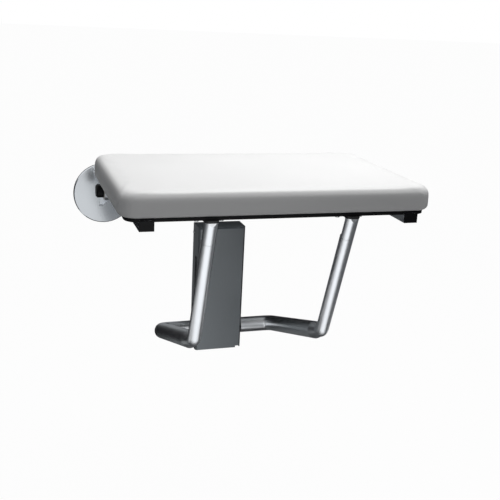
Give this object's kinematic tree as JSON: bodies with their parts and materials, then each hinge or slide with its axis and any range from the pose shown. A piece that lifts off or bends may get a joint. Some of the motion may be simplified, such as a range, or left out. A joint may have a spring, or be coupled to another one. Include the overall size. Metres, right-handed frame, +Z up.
{
  "type": "fold down wall seat",
  "caption": "Fold down wall seat: white padded seat on two wall hinges, propped by a bent tube frame that slides in a steel wall guide.",
  "frame": {"origin": "on the wall face, at the centre of the guide plate's four bolt holes", "axes": "+X along the wall to the right of a person facing it, +Y into the wall, +Z up; the seat folds down into -Y"},
  "size_m": [0.636, 0.445, 0.463],
  "materials": {
    "white_vinyl": "soft white vinyl upholstery over foam",
    "black_board": "black faced board",
    "black_plastic": "moulded black plastic",
    "polished_steel": "polished stainless steel",
    "satin_steel": "satin stainless steel",
    "plain_steel": "plain steel",
    "nylon": "natural nylon",
    "black_rubber": "black rubber"
  },
  "bodies": {
    "wall": {"left_wall_plate": "plain_steel", "right_wall_plate": "plain_steel", "left_flange_cover": "polished_steel", "right_flange_cover": "polished_steel", "left_hinge_ear": "polished_steel", "right_hinge_ear": "polished_steel", "left_hinge_bush": "nylon", "right_hinge_bush": "nylon", "guide_back_plate": "plain_steel", "guide_cover": "satin_steel", "guide_cover_screws": "plain_steel", "lower_stop": "black_rubber", "upper_stop": "black_rubber"},
    "seat": {"seat_cushion": "white_vinyl", "seat_board": "black_board", "left_seat_rail": "satin_steel", "right_seat_rail": "satin_steel", "left_front_rail_plug": "black_plastic", "left_rear_rail_plug": "black_plastic", "right_front_rail_plug": "black_plastic", "right_rear_rail_plug": "black_plastic", "hinge_tube": "polished_steel", "left_hinge_plug": "black_plastic", "right_hinge_plug": "black_plastic", "left_leg_bracket": "polished_steel", "right_leg_bracket": "polished_steel", "leg_bracket_screws": "plain_steel", "board_screws": "plain_steel"},
    "guide_slider": {"slide_block": "nylon", "drag_spring": "plain_steel"},
    "support_frame": {"guide_axle": "plain_steel", "left_axle_collar": "plain_steel", "right_axle_collar": "plain_steel", "left_lower_tube": "polished_steel", "right_lower_tube": "polished_steel", "left_elbow": "polished_steel", "right_elbow": "polished_steel", "left_leg": "polished_steel", "right_leg": "polished_steel", "left_leg_pin": "polished_steel", "right_leg_pin": "polished_steel"}
  },
  "joints": [
    {"name": "seat_fold", "type": "hinge", "parent": "wall", "child": "seat", "pos_m": [0, -0.085, 0.241], "axis": [-1, 0, 0], "range_deg": [0, 90]},
    {"name": "guide_slide", "type": "slide", "parent": "wall", "child": "guide_slider", "axis": [0, 0, 1], "range_m": [0, 0.1641]},
    {"name": "frame_swing", "type": "hinge", "parent": "guide_slider", "child": "support_frame", "pos_m": [0, -0.03, -0.0975], "axis": [-1, 0, 0], "range_deg": [0, 43]}
  ],
  "couplings": [
    {"joint": "guide_slide", "follows": "seat_fold", "m_per_rad": 0.10438},
    {"joint": "frame_swing", "follows": "seat_fold", "ratio": 0.47704}
  ]
}
